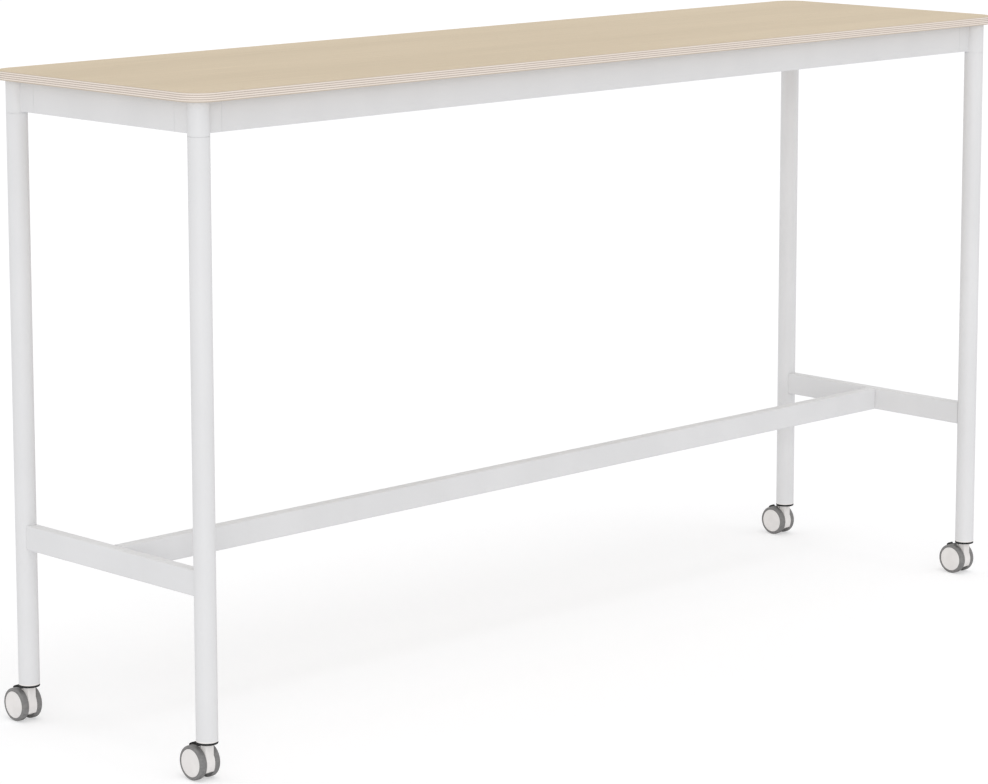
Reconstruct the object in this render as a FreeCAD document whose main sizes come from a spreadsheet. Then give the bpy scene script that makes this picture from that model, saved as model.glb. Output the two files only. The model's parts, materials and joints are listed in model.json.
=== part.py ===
import FreeCAD, Part
import os
import Sketcher
from types import SimpleNamespace
from FreeCAD import Placement, Rotation, Vector

# High table on castors: a plywood top on an aluminium frame with four round legs,
# an H-shaped foot rail and a braked twin-wheel castor under each leg.
# Millimetres. X runs along the table, Y across it and Z up from the floor.
# The origin is on the floor under the middle of the top.

# Driving sizes

SIZES = {
    # the table as a whole
    "table_height": 1050.0,
    "top_length": 1906.0,
    "top_depth": 506.0,
    "top_thickness": 15.0,
    "top_corner_radius": 40.0,
    "top_edge_chamfer": 0.6,
    "end_overhang": 31.0,
    "side_overhang": 31.0,
    # rails under the top
    "rail_height": 50.0,
    "rail_width": 20.0,
    "long_rail_proud": 0.5,
    "side_rail_proud": 5.0,
    "rail_wall": 2.0,
    "rail_edge_radius": 1.5,
    "butt_seam": 0.3,
    # corner castings
    "long_arm": 44.0,
    "short_arm": 50.0,
    "spigot_length": 40.0,
    "spigot_clearance": 0.2,
    "collar_drop": 2.0,
    "seam_height": 0.8,
    "seam_depth": 0.9,
    "leg_spigot_length": 25.0,
    "bolt_head_radius": 6.5,
    "bolt_head_height": 8.0,
    "bolt_radius": 4.0,
    "bolt_length": 90.0,
    "bolt_recess": 12.0,
    "bolt_hole_clearance": 0.3,
    # legs
    "leg_radius": 17.0,
    "leg_wall": 2.0,
    "leg_plug_length": 35.0,
    "plug_clearance": 0.1,
    # foot rail
    "bar_top": 325.0,
    "bar_height": 40.0,
    "bar_width": 20.0,
    "bar_wall": 2.0,
    "bar_edge_radius": 2.5,
    "bar_spigot_inside": 12.0,
    "bar_spigot_outside": 30.0,
    "grub_radius": 2.5,
    "grub_length": 12.0,
    "grub_inset": 15.0,
    "stretcher_seam": 0.6,
    # brackets and screws that hold the top and the rails
    "bracket_from_leg": 322.0,
    "bracket_leg": 28.0,
    "bracket_width": 20.0,
    "bracket_thickness": 2.5,
    "bracket_hole_inset": 16.0,
    "screw_radius": 2.0,
    "screw_head_radius": 4.0,
    "screw_head_height": 2.4,
    "screw_clearance": 0.1,
    "wood_screw_length": 14.0,
    "rail_screw_length": 12.0,
    "rail_screw_inset": 20.0,
    "bracket_screw_length": 6.0,
    # castors
    "wheel_radius": 27.0,
    "wheel_width": 11.0,
    "wheel_gap": 16.2,
    "trail": 17.7,
    "hub_disc_radius": 21.8,
    "tyre_outer_shoulder": 3.2,
    "tyre_inner_shoulder": 1.5,
    "tyre_clearance": 0.02,
    "rim_ring_inner_radius": 19.0,
    "rim_boss_radius": 6.0,
    "hub_disc_thickness": 2.4,
    "hub_disc_edge": 0.8,
    "axle_radius": 3.0,
    "axle_end_gap": 0.3,
    "running_clearance": 0.05,
    "hood_radius": 26.8,
    "hood_post_corner": 3.0,
    "hood_clearance": 0.3,
    "hood_bottom": 14.0,
    "hood_rise": 31.3,
    "hood_flat": 19.0,
    "hood_flat_reach": 19.5,
    "swivel_gap": 0.3,
    "ring_thickness": 3.6,
    "socket_flange": 2.0,
    "socket_length": 45.0,
    "stem_radius": 4.0,
    "stem_top_radius": 5.5,
    "stem_depth": 26.0,
    "stem_seat": 32.0,
    # brake pedals
    "pedal_pivot_back": 22.0,
    "pedal_pivot_rise": 19.5,
    "pedal_barrel_radius": 3.6,
    "pedal_barrel_width": 9.0,
    "pedal_slot_clearance": 0.3,
    "pedal_width": 10.0,
    "pedal_inner_radius": 27.6,
    "pedal_outer_radius": 30.2,
    "pedal_arm_thickness": 3.6,
    "pedal_arm_reach": 12.0,
    "trunnion_radius": 1.5,
    "trunnion_half": 6.6,
    "trunnion_end_gap": 0.2,
    "lug_radius": 4.0,
}

# Angles about a castor's axle, in degrees from level and towards the top
PEDAL_TIP_ANGLE = 49.0
PEDAL_SPAN_ANGLE = 14.0
PEDAL_ARM_ANGLE = 24.0
HOOD_FLAT_ANGLE = 60.0

# The board is glued from nine plies, of which the outer two are the veneers
PLY_COUNT = 9

doc = FreeCAD.newDocument("high_table")
sheet = doc.addObject("Spreadsheet::Sheet", "sizes")
for row, (alias, number) in enumerate(SIZES.items(), 1):
    sheet.set(f"A{row}", alias)
    sheet.set(f"B{row}", str(number))
    sheet.setAlias(f"B{row}", alias)


class Size:
    """A length with its number and the formula that gives it from the sheet's cells."""

    def __init__(self, number, formula):
        self.number = number
        self.formula = formula

    def __add__(self, other):
        other = as_size(other)
        return Size(self.number + other.number, f"({self.formula} + {other.formula})")

    def __sub__(self, other):
        other = as_size(other)
        return Size(self.number - other.number, f"({self.formula} - {other.formula})")

    def __mul__(self, factor):
        return Size(self.number * factor, f"({self.formula} * {factor})")

    def __truediv__(self, factor):
        return Size(self.number / factor, f"({self.formula} / {factor})")

    def __neg__(self):
        return Size(-self.number, f"(-{self.formula})")

    __rmul__ = __mul__


def as_size(value):
    return value if isinstance(value, Size) else Size(float(value), str(value))


s = SimpleNamespace(**{alias: Size(number, f"sizes.{alias}") for alias, number in SIZES.items()})
ZERO = as_size(0)

# Places that several pieces share
leg_x = s.top_length / 2 - s.end_overhang
leg_y = s.top_depth / 2 - s.side_overhang
underside = s.table_height - s.top_thickness
rail_bottom = underside - s.rail_height
collar_bottom = rail_bottom - s.collar_drop
leg_top = collar_bottom - s.seam_height
hood_top = s.wheel_radius + s.hood_rise
ring_bottom = hood_top + s.swivel_gap
ring_top = ring_bottom + s.ring_thickness
leg_bottom = ring_top + s.socket_flange
leg_bore = s.leg_radius - s.leg_wall
bar_middle = s.bar_top - s.bar_height / 2
bar_bottom = s.bar_top - s.bar_height
rail_middle = underside - s.rail_height / 2
long_rail_out = s.long_rail_proud - s.rail_width / 2
side_rail_out = s.side_rail_proud - s.rail_width / 2

CORNERS = {
    "front_left": (-1, -1),
    "back_left": (-1, 1),
    "front_right": (1, -1),
    "back_right": (1, 1),
}

ALONG_X = Rotation(Vector(0, 1, 0), 90)
ALONG_Y = Rotation(Vector(1, 0, 0), -90)
ALONG_MINUS_Y = Rotation(Vector(1, 0, 0), 90)
ALONG_MINUS_X = Rotation(Vector(0, 1, 0), -90)
UPRIGHT = Rotation()
HALF_TURN = Rotation(Vector(0, 0, 1), 180)

parts = []


# Helpers for the document's objects

def bind(item, prop, value):
    item.setExpression(prop, as_size(value).formula)


def place(item, at=(0, 0, 0), turn=UPRIGHT):
    """Puts an object's own origin at a place given in sizes, turned as the rotation says."""
    at = [as_size(value) for value in at]
    item.Placement = Placement(Vector(*[value.number for value in at]), turn)
    for letter, value in zip("xyz", at):
        bind(item, f"Placement.Base.{letter}", value)
    return item


def new_body(label, at=(0, 0, 0), turn=UPRIGHT):
    piece = doc.addObject("PartDesign::Body", label)
    piece.Label = label
    place(piece, at, turn)
    return piece


def keep(piece):
    """Marks an object as one of the table's sub-parts, which gets a file of its own."""
    parts.append(piece)
    return piece


def new_sketch(piece, role, offset=(0, 0, 0)):
    """A sketch on one of the body's own planes, moved by an offset along the sketch's axes."""
    drawing = piece.newObject("Sketcher::SketchObject", f"{piece.Name}_sketch")
    plane = next(item for item in piece.Origin.OriginFeatures if item.Role == role)
    drawing.AttachmentSupport = (plane, [""])
    drawing.MapMode = "FlatFace"
    for letter, value in zip("xyz", offset):
        bind(drawing, f"AttachmentOffset.Base.{letter}", value)
    return drawing


def dimension(drawing, name, kind, where, value):
    index = drawing.addConstraint(Sketcher.Constraint(kind, *where, as_size(value).number))
    drawing.renameConstraint(index, name)
    bind(drawing, f"Constraints.{name}", value)


def draw_circle(drawing, name, radius):
    """A circle round the sketch's origin."""
    index = drawing.addGeometry(Part.Circle(Vector(), Vector(0, 0, 1), radius.number))
    drawing.addConstraint(Sketcher.Constraint("Coincident", index, 3, -1, 1))
    dimension(drawing, name, "Radius", (index,), radius)


def draw_rounded_rectangle(drawing, name, width, height, radius):
    """A rectangle round the sketch's origin, with its four corners rounded."""
    w = width.number / 2
    h = height.number / 2
    r = radius.number
    bottom = drawing.addGeometry(Part.LineSegment(Vector(r - w, -h), Vector(w - r, -h)))
    right = drawing.addGeometry(Part.LineSegment(Vector(w, r - h), Vector(w, h - r)))
    top = drawing.addGeometry(Part.LineSegment(Vector(w - r, h), Vector(r - w, h)))
    left = drawing.addGeometry(Part.LineSegment(Vector(-w, h - r), Vector(-w, r - h)))
    corners = []
    for sign_x, sign_y, start in ((1, -1, 270), (1, 1, 0), (-1, 1, 90), (-1, -1, 180)):
        circle = Part.Circle(Vector(sign_x * (w - r), sign_y * (h - r)), Vector(0, 0, 1), r)
        first = FreeCAD.Units.Quantity(f"{start} deg").getValueAs("rad").Value
        last = FreeCAD.Units.Quantity(f"{start + 90} deg").getValueAs("rad").Value
        corners.append(drawing.addGeometry(Part.ArcOfCircle(circle, first, last)))
    sides = (bottom, right, top, left)
    for place_in_row, corner in enumerate(corners):
        following = sides[(place_in_row + 1) % 4]
        drawing.addConstraint(Sketcher.Constraint("Tangent", sides[place_in_row], 2, corner, 1))
        drawing.addConstraint(Sketcher.Constraint("Tangent", corner, 2, following, 1))
    drawing.addConstraint(Sketcher.Constraint("Horizontal", bottom))
    drawing.addConstraint(Sketcher.Constraint("Vertical", right))
    drawing.addConstraint(Sketcher.Constraint("Horizontal", top))
    drawing.addConstraint(Sketcher.Constraint("Vertical", left))
    for corner in corners[1:]:
        drawing.addConstraint(Sketcher.Constraint("Equal", corners[0], corner))
    drawing.addConstraint(Sketcher.Constraint("Symmetric", corners[1], 3, corners[3], 3, -1, 1))
    dimension(drawing, f"{name}_radius", "Radius", (corners[0],), radius)
    dimension(drawing, f"{name}_width", "DistanceX", (left, 1, right, 1), width)
    dimension(drawing, f"{name}_height", "DistanceY", (bottom, 1, top, 1), height)


def draw_outline(drawing, points):
    """A closed outline of straight lines. Each point is zero or positive along both axes."""
    points = [(as_size(x), as_size(y)) for x, y in points]
    lines = []
    for (x, y), (next_x, next_y) in zip(points, points[1:] + points[:1]):
        start = Vector(x.number, y.number)
        end = Vector(next_x.number, next_y.number)
        lines.append(drawing.addGeometry(Part.LineSegment(start, end)))
    for line, following in zip(lines, lines[1:] + lines[:1]):
        drawing.addConstraint(Sketcher.Constraint("Coincident", line, 2, following, 1))
    for line, (x, y) in zip(lines, points):
        if x.number == 0:
            drawing.addConstraint(Sketcher.Constraint("PointOnObject", line, 1, -2))
        else:
            dimension(drawing, f"across_{line}", "DistanceX", (-1, 1, line, 1), x)
        if y.number == 0:
            drawing.addConstraint(Sketcher.Constraint("PointOnObject", line, 1, -1))
        else:
            dimension(drawing, f"up_{line}", "DistanceY", (-1, 1, line, 1), y)


def pad(piece, drawing, length, symmetric=True):
    feature = piece.newObject("PartDesign::Pad", f"{piece.Name}_pad")
    feature.Profile = drawing
    feature.SideType = "Symmetric" if symmetric else "One side"
    bind(feature, "Length", length)
    return feature


def primitive(piece, kind, at, turn=UPRIGHT, **lengths):
    """One of the PartDesign primitives, such as SubtractiveCylinder, with its sizes bound."""
    feature = piece.newObject(f"PartDesign::{kind}", f"{piece.Name}_{kind}")
    for prop, value in lengths.items():
        bind(feature, prop, value)
    return place(feature, at, turn)


def round_edges(piece, radius, wanted, kind="Fillet"):
    """Rounds or chamfers the edges of the body so far that the given test picks."""
    doc.recompute()
    base = piece.Tip
    names = [f"Edge{i}" for i, edge in enumerate(base.Shape.Edges, 1) if wanted(edge)]
    feature = piece.newObject(f"PartDesign::{kind}", f"{piece.Name}_{kind}")
    feature.Base = (base, names)
    bind(feature, "Radius" if kind == "Fillet" else "Size", radius)
    return feature


def rod(name, radius, length, at, turn=UPRIGHT):
    """A plain cylinder from a point, along the direction that the turn gives to Z."""
    cylinder = doc.addObject("Part::Cylinder", name)
    bind(cylinder, "Radius", radius)
    bind(cylinder, "Height", length)
    return place(cylinder, at, turn)


def block(name, lengths, at, turn=UPRIGHT):
    cuboid = doc.addObject("Part::Box", name)
    for prop, value in zip(("Length", "Width", "Height"), lengths):
        bind(cuboid, prop, value)
    return place(cuboid, at, turn)


def joined(name, pieces):
    whole = doc.addObject("Part::MultiFuse", name)
    whole.Shapes = pieces
    return whole


def cut(name, base, tool):
    rest = doc.addObject("Part::Cut", name)
    rest.Base = base
    rest.Tool = tool
    return rest


def group(label, pieces):
    """Identical pieces kept together as one sub-part, each still a solid of its own."""
    whole = doc.addObject("Part::Compound", label)
    whole.Label = label
    whole.Links = pieces
    return keep(whole)


def low_side(sign, near, far):
    """The lower end of a span from near to far, counted outward along an axis of that sign."""
    return near if sign > 0 else -far


# Screw places, which the holes and the screws themselves share

def screw(name, length, at, turn):
    """A screw whose shank starts at the given point; its head stands behind that point."""
    shank = rod(f"{name}_shank", s.screw_radius, length, (0, 0, 0))
    head_start = (0, 0, -s.screw_head_height)
    cap = rod(f"{name}_head", s.screw_head_radius, s.screw_head_height, head_start)
    return place(joined(name, [shank, cap]), at, turn)


rail_inner_y = leg_y + s.long_rail_proud - s.rail_width
rail_inner_x = leg_x + s.side_rail_proud - s.rail_width
rail_screw_x = leg_x - s.long_arm - s.rail_screw_inset
rail_screw_y = leg_y - s.short_arm - s.rail_screw_inset
screw_hole = s.screw_radius + s.screw_clearance
hole_length = s.rail_wall * 2

# Each top bracket's place along its rail, the axis it faces and its side of the table
bracket_pitch = leg_x - s.bracket_from_leg
bracket_places = [(bracket_pitch * step, "Y", sign) for sign in (-1, 1) for step in (-1, 0, 1)]
bracket_places += [(ZERO, "X", -1), (ZERO, "X", 1)]


def beside_rail(along, axis, sign, distance, height):
    """A point that far from a rail's inner face, towards the middle of the table."""
    if axis == "Y":
        return along, (rail_inner_y - distance) * sign, height
    return (rail_inner_x - distance) * sign, along, height


# Table top

def board(label, bottom, thickness, hole_depth=None):
    piece = new_body(label, (0, 0, bottom))
    drawing = new_sketch(piece, "XY_Plane")
    draw_rounded_rectangle(drawing, "board", s.top_length, s.top_depth, s.top_corner_radius)
    pad(piece, drawing, thickness, symmetric=False)
    if hole_depth:
        for bracket in bracket_places:
            at = beside_rail(*bracket, s.bracket_hole_inset, ZERO)
            primitive(piece, "SubtractiveCylinder", at, Radius=screw_hole, Height=hole_depth)
    return keep(piece)


veneer = s.top_thickness / PLY_COUNT
screw_depth = s.wood_screw_length - s.bracket_thickness - veneer + s.screw_clearance
board("underside_veneer", underside, veneer, veneer)
board("plywood_core", underside + veneer, s.top_thickness - veneer * 2, screw_depth)
top_veneer = board("top_veneer", s.table_height - veneer, veneer)
round_edges(
    top_veneer,
    s.top_edge_chamfer,
    lambda edge: min(v.Z for v in edge.Vertexes) > veneer.number / 2,
    "Chamfer",
)


# Rails

def rail(label, role, sign, arm, half_span):
    """A rectangular tube between two corner castings, along X or along Y."""
    along_x = role == "YZ_Plane"
    centre = leg_y + long_rail_out if along_x else leg_x + side_rail_out
    middle = centre * sign
    piece = new_body(label, (0, middle, rail_middle) if along_x else (middle, 0, rail_middle))
    drawing = new_sketch(piece, role)
    across = (s.rail_width, s.rail_height)
    bore = (s.rail_width - s.rail_wall * 2, s.rail_height - s.rail_wall * 2)
    draw_rounded_rectangle(drawing, "outside", *across, s.rail_edge_radius)
    draw_rounded_rectangle(drawing, "inside", *bore, s.rail_edge_radius / 2)
    half_length = half_span - arm - s.butt_seam
    pad(piece, drawing, half_length * 2)
    # Holes in the inner wall, for the screws into the castings and into the brackets
    start = -s.rail_width / 2 - s.rail_wall / 2
    wall_start = start if sign > 0 else -start
    screw_place = half_span - arm - s.rail_screw_inset
    holes = [(screw_place, ZERO), (-screw_place, ZERO)]
    bracket_height = s.rail_height / 2 - s.bracket_hole_inset
    steps = (-1, 0, 1) if along_x else (0,)
    holes += [(bracket_pitch * step, bracket_height) for step in steps]
    for along, up in holes:
        if along_x:
            turn = ALONG_Y if sign > 0 else ALONG_MINUS_Y
            at = (along, wall_start, up)
        else:
            turn = ALONG_X if sign > 0 else ALONG_MINUS_X
            at = (wall_start, along, up)
        primitive(piece, "SubtractiveCylinder", at, turn, Radius=screw_hole, Height=hole_length)
    return keep(piece)


rail("front_rail", "YZ_Plane", -1, s.long_arm, leg_x)
rail("back_rail", "YZ_Plane", 1, s.long_arm, leg_x)
rail("left_rail", "XZ_Plane", -1, s.short_arm, leg_y)
rail("right_rail", "XZ_Plane", 1, s.short_arm, leg_y)


# Corner castings

def corner_casting(label, sign_x, sign_y):
    """A round post with an arm to each rail, a spigot in each rail and one in the leg."""
    piece = new_body(label, (leg_x * sign_x, leg_y * sign_y, 0))
    inner = s.rail_wall * 2 + s.spigot_clearance * 2
    spigot_width = s.rail_width - inner
    spigot_height = s.rail_height - inner
    # One arm starts at the post's axis, the other just past the first one's rounded edge,
    # and both run towards the middle of the table
    x_arm = new_sketch(piece, "YZ_Plane", (long_rail_out * sign_y, rail_middle, s.long_arm * -sign_x / 2))
    draw_rounded_rectangle(x_arm, "arm", s.rail_width, s.rail_height, s.rail_edge_radius)
    pad(piece, x_arm, s.long_arm)
    y_centre = (s.short_arm + s.rail_edge_radius) * sign_y / 2
    y_arm = new_sketch(piece, "XZ_Plane", (side_rail_out * sign_x, rail_middle, y_centre))
    draw_rounded_rectangle(y_arm, "arm", s.rail_width, s.rail_height, s.rail_edge_radius)
    pad(piece, y_arm, s.short_arm - s.rail_edge_radius)
    primitive(
        piece,
        "AdditiveCylinder",
        (0, 0, collar_bottom),
        Radius=s.leg_radius,
        Height=s.rail_height + s.collar_drop,
    )
    x_reach = s.long_arm + s.spigot_length
    primitive(
        piece,
        "AdditiveBox",
        (
            low_side(-sign_x, ZERO, x_reach),
            long_rail_out * sign_y - spigot_width / 2,
            rail_middle - spigot_height / 2,
        ),
        Length=x_reach,
        Width=spigot_width,
        Height=spigot_height,
    )
    y_reach = s.short_arm + s.spigot_length
    primitive(
        piece,
        "AdditiveBox",
        (
            side_rail_out * sign_x - spigot_width / 2,
            low_side(-sign_y, ZERO, y_reach),
            rail_middle - spigot_height / 2,
        ),
        Length=spigot_width,
        Width=y_reach,
        Height=spigot_height,
    )
    # The neck that shows as a dark line round the leg, and the spigot below it
    primitive(
        piece,
        "AdditiveCylinder",
        (0, 0, leg_top),
        Radius=s.leg_radius - s.seam_depth,
        Height=s.seam_height,
    )
    primitive(
        piece,
        "AdditiveCylinder",
        (0, 0, leg_top - s.leg_spigot_length),
        Radius=leg_bore - s.plug_clearance,
        Height=s.leg_spigot_length,
    )
    # The leg bolt's hole, with a recess for its head under the table top
    spigot_end = leg_top - s.leg_spigot_length
    primitive(
        piece,
        "SubtractiveCylinder",
        (0, 0, spigot_end),
        Radius=s.bolt_radius + s.bolt_hole_clearance,
        Height=underside - spigot_end,
    )
    primitive(
        piece,
        "SubtractiveCylinder",
        (0, 0, underside - s.bolt_recess),
        Radius=s.bolt_head_radius + s.bolt_hole_clearance,
        Height=s.bolt_recess,
    )
    # Holes for the two screws that come through the rails
    in_rail = s.rail_width / 2 - s.rail_wall - s.spigot_clearance
    hole_x = (s.long_arm + s.rail_screw_inset) * -sign_x
    hole_y = (long_rail_out - in_rail) * sign_y
    primitive(
        piece,
        "SubtractiveCylinder",
        (hole_x, hole_y, rail_middle),
        ALONG_Y if sign_y > 0 else ALONG_MINUS_Y,
        Radius=screw_hole,
        Height=s.rail_screw_length,
    )
    hole_x = (side_rail_out - in_rail) * sign_x
    hole_y = (s.short_arm + s.rail_screw_inset) * -sign_y
    primitive(
        piece,
        "SubtractiveCylinder",
        (hole_x, hole_y, rail_middle),
        ALONG_X if sign_x > 0 else ALONG_MINUS_X,
        Radius=screw_hole,
        Height=s.rail_screw_length,
    )
    return keep(piece)


for corner, (sign_x, sign_y) in CORNERS.items():
    corner_casting(f"corner_casting_{corner}", sign_x, sign_y)


# Foot rail spigots, whose section the slots in the legs and in the crossbars follow

bar_bore_width = s.bar_width - s.bar_wall * 2
bar_bore_height = s.bar_height - s.bar_wall * 2
bar_spigot_width = bar_bore_width - s.spigot_clearance * 2
bar_spigot_height = bar_bore_height - s.spigot_clearance * 2
bar_spigot_bottom = bar_middle - bar_spigot_height / 2


# Legs

def leg(label, sign_x, sign_y):
    """A round tube with a slot in its inner side for the foot rail's spigot."""
    piece = new_body(label, (leg_x * sign_x, leg_y * sign_y, leg_bottom))
    drawing = new_sketch(piece, "XY_Plane")
    draw_circle(drawing, "outside", s.leg_radius)
    draw_circle(drawing, "inside", leg_bore)
    pad(piece, drawing, leg_top - leg_bottom, symmetric=False)
    primitive(
        piece,
        "SubtractiveBox",
        (
            -bar_bore_width / 2,
            low_side(-sign_y, ZERO, s.leg_radius),
            bar_middle - bar_bore_height / 2 - leg_bottom,
        ),
        Length=bar_bore_width,
        Width=s.leg_radius,
        Height=bar_bore_height,
    )
    return keep(piece)


for corner, (sign_x, sign_y) in CORNERS.items():
    leg(f"leg_{corner}", sign_x, sign_y)


# Foot rail

def bar_profile(piece, role):
    drawing = new_sketch(piece, role)
    draw_rounded_rectangle(drawing, "outside", s.bar_width, s.bar_height, s.bar_edge_radius)
    draw_rounded_rectangle(drawing, "inside", bar_bore_width, bar_bore_height, s.bar_edge_radius / 2)
    return drawing


grub_from_leg = s.leg_radius + s.grub_inset
grub_hole = s.grub_radius + s.screw_clearance


def foot_crossbar(label, sign_x):
    """A bar across the table's end, its two ends cut round to fit the legs."""
    piece = new_body(label, (leg_x * sign_x, 0, bar_middle))
    pad(piece, bar_profile(piece, "XZ_Plane"), leg_y * 2)
    bottom = -s.bar_height / 2
    for sign_y in (-1, 1):
        primitive(
            piece,
            "SubtractiveCylinder",
            (0, leg_y * sign_y, bottom),
            Radius=s.leg_radius + s.butt_seam,
            Height=s.bar_height,
        )
        primitive(
            piece,
            "SubtractiveCylinder",
            (0, (leg_y - grub_from_leg) * sign_y, bottom),
            Radius=grub_hole,
            Height=s.bar_wall,
        )
    primitive(
        piece,
        "SubtractiveBox",
        (low_side(-sign_x, ZERO, s.bar_width / 2), -bar_bore_width / 2, -bar_bore_height / 2),
        Length=s.bar_width / 2,
        Width=bar_bore_width,
        Height=bar_bore_height,
    )
    return keep(piece)


foot_crossbar("left_foot_bar", -1)
foot_crossbar("right_foot_bar", 1)

stretcher_half = leg_x - s.bar_width / 2 - s.stretcher_seam
stretcher = keep(new_body("long_foot_bar", (0, 0, bar_middle)))
pad(stretcher, bar_profile(stretcher, "YZ_Plane"), stretcher_half * 2)
for sign in (-1, 1):
    primitive(
        stretcher,
        "SubtractiveCylinder",
        ((stretcher_half + s.stretcher_seam - s.grub_inset) * sign, 0, -s.bar_height / 2),
        Radius=grub_hole,
        Height=s.bar_wall,
    )


def bar_spigot(name, at, along_x, sign, root, reach, hole):
    """A block from inside one piece into the open end of a bar, tapped from below.

    The place at is the middle of the piece that carries it. The block runs from root to
    reach along the axis of that sign, and its hole stands at the distance hole.
    """
    length = reach - root
    near = low_side(sign, root, reach)
    if along_x:
        lengths = (length, bar_spigot_width, bar_spigot_height)
        corner_at = (at[0] + near, at[1] - bar_spigot_width / 2, bar_spigot_bottom)
        hole_at = (at[0] + hole * sign, at[1], bar_spigot_bottom)
    else:
        lengths = (bar_spigot_width, length, bar_spigot_height)
        corner_at = (at[0] - bar_spigot_width / 2, at[1] + near, bar_spigot_bottom)
        hole_at = (at[0], at[1] + hole * sign, bar_spigot_bottom)
    solid = block(f"{name}_block", lengths, corner_at)
    drill = rod(f"{name}_drill", grub_hole, s.grub_length, hole_at)
    return cut(name, solid, drill)


spigots = []
grubs = []
for corner, (sign_x, sign_y) in CORNERS.items():
    spigots.append(
        bar_spigot(
            f"spigot_{corner}",
            (leg_x * sign_x, leg_y * sign_y),
            False,
            -sign_y,
            -s.bar_spigot_inside,
            s.leg_radius + s.bar_spigot_outside,
            grub_from_leg,
        )
    )
    grubs.append(
        rod(
            f"grub_{corner}",
            s.grub_radius,
            s.grub_length,
            (leg_x * sign_x, (leg_y - grub_from_leg) * sign_y, bar_bottom),
        )
    )
for side, sign in (("left", -1), ("right", 1)):
    spigots.append(
        bar_spigot(
            f"spigot_{side}",
            (leg_x * sign, ZERO),
            True,
            -sign,
            -bar_bore_width / 2 + s.spigot_clearance,
            s.bar_width / 2 + s.bar_spigot_outside,
            s.bar_width / 2 + s.grub_inset,
        )
    )
    grubs.append(
        rod(
            f"grub_{side}",
            s.grub_radius,
            s.grub_length,
            ((leg_x - s.bar_width / 2 - s.grub_inset) * sign, 0, bar_bottom),
        )
    )
group("foot_bar_spigots", spigots)
group("foot_bar_grub_screws", grubs)


# Bolts and threaded plugs that pull the legs against the castings

bolts = []
plugs = []
bolt_seat = underside - s.bolt_recess
plug_top = leg_top - s.leg_spigot_length - s.butt_seam
for corner, (sign_x, sign_y) in CORNERS.items():
    x = leg_x * sign_x
    y = leg_y * sign_y
    shank = rod(f"bolt_shank_{corner}", s.bolt_radius, s.bolt_length, (0, 0, -s.bolt_length))
    head = rod(f"bolt_head_{corner}", s.bolt_head_radius, s.bolt_head_height, (0, 0, 0))
    bolts.append(place(joined(f"leg_bolt_{corner}", [shank, head]), (x, y, bolt_seat)))
    solid = rod(
        f"plug_solid_{corner}",
        leg_bore - s.plug_clearance,
        s.leg_plug_length,
        (x, y, plug_top - s.leg_plug_length),
    )
    bore = rod(
        f"plug_bore_{corner}",
        s.bolt_radius + s.running_clearance,
        s.leg_plug_length,
        (x, y, plug_top - s.leg_plug_length),
    )
    plugs.append(cut(f"plug_{corner}", solid, bore))
group("leg_bolts", bolts)
group("leg_plugs", plugs)


# Brackets and screws under the top

# A bracket's turn and its rail screw's turn, by the axis and the side that it faces
TURNS = {
    ("Y", 1): (UPRIGHT, ALONG_Y),
    ("Y", -1): (HALF_TURN, ALONG_MINUS_Y),
    ("X", 1): (Rotation(Vector(0, 0, 1), -90), ALONG_X),
    ("X", -1): (Rotation(Vector(0, 0, 1), 90), ALONG_MINUS_X),
}

brackets = []
bracket_screws = []
top_screws = []
for number, (along, axis, sign) in enumerate(bracket_places, 1):
    # Drawn with the rail's face in the plane y = 0 and the bracket on its -y side, then turned
    upright_plate = block(
        f"bracket_plate_{number}",
        (s.bracket_width, s.bracket_thickness, s.bracket_leg),
        (-s.bracket_width / 2, -s.bracket_thickness, -s.bracket_leg),
    )
    flat_plate = block(
        f"bracket_flat_{number}",
        (s.bracket_width, s.bracket_leg, s.bracket_thickness),
        (-s.bracket_width / 2, -s.bracket_leg, -s.bracket_thickness),
    )
    upright_hole = rod(
        f"bracket_hole_a_{number}",
        screw_hole,
        s.bracket_thickness,
        (0, -s.bracket_thickness, -s.bracket_hole_inset),
        ALONG_Y,
    )
    flat_hole = rod(
        f"bracket_hole_b_{number}",
        screw_hole,
        s.bracket_thickness,
        (0, -s.bracket_hole_inset, -s.bracket_thickness),
    )
    angle = joined(f"bracket_angle_{number}", [upright_plate, flat_plate])
    holes = joined(f"bracket_holes_{number}", [upright_hole, flat_hole])
    bracket_turn, screw_turn = TURNS[axis, sign]
    seat = beside_rail(along, axis, sign, ZERO, underside)
    brackets.append(place(cut(f"bracket_{number}", angle, holes), seat, bracket_turn))
    side_height = underside - s.bracket_hole_inset
    side_at = beside_rail(along, axis, sign, s.bracket_thickness, side_height)
    name = f"bracket_screw_{number}"
    bracket_screws.append(screw(name, s.bracket_screw_length, side_at, screw_turn))
    up_height = underside - s.bracket_thickness
    up_at = beside_rail(along, axis, sign, s.bracket_hole_inset, up_height)
    top_screws.append(screw(f"top_screw_{number}", s.wood_screw_length, up_at, UPRIGHT))
group("top_brackets", brackets)
group("bracket_screws", bracket_screws)
group("top_screws", top_screws)

rail_screws = []
for corner, (sign_x, sign_y) in CORNERS.items():
    rail_screws.append(
        screw(
            f"long_rail_screw_{corner}",
            s.rail_screw_length,
            (rail_screw_x * sign_x, rail_inner_y * sign_y, rail_middle),
            ALONG_Y if sign_y > 0 else ALONG_MINUS_Y,
        )
    )
    rail_screws.append(
        screw(
            f"end_rail_screw_{corner}",
            s.rail_screw_length,
            (rail_inner_x * sign_x, rail_screw_y * sign_y, rail_middle),
            ALONG_X if sign_x > 0 else ALONG_MINUS_X,
        )
    )
group("rail_screws", rail_screws)


# Castor sockets, swivel rings and stems, which stay with the legs

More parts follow.
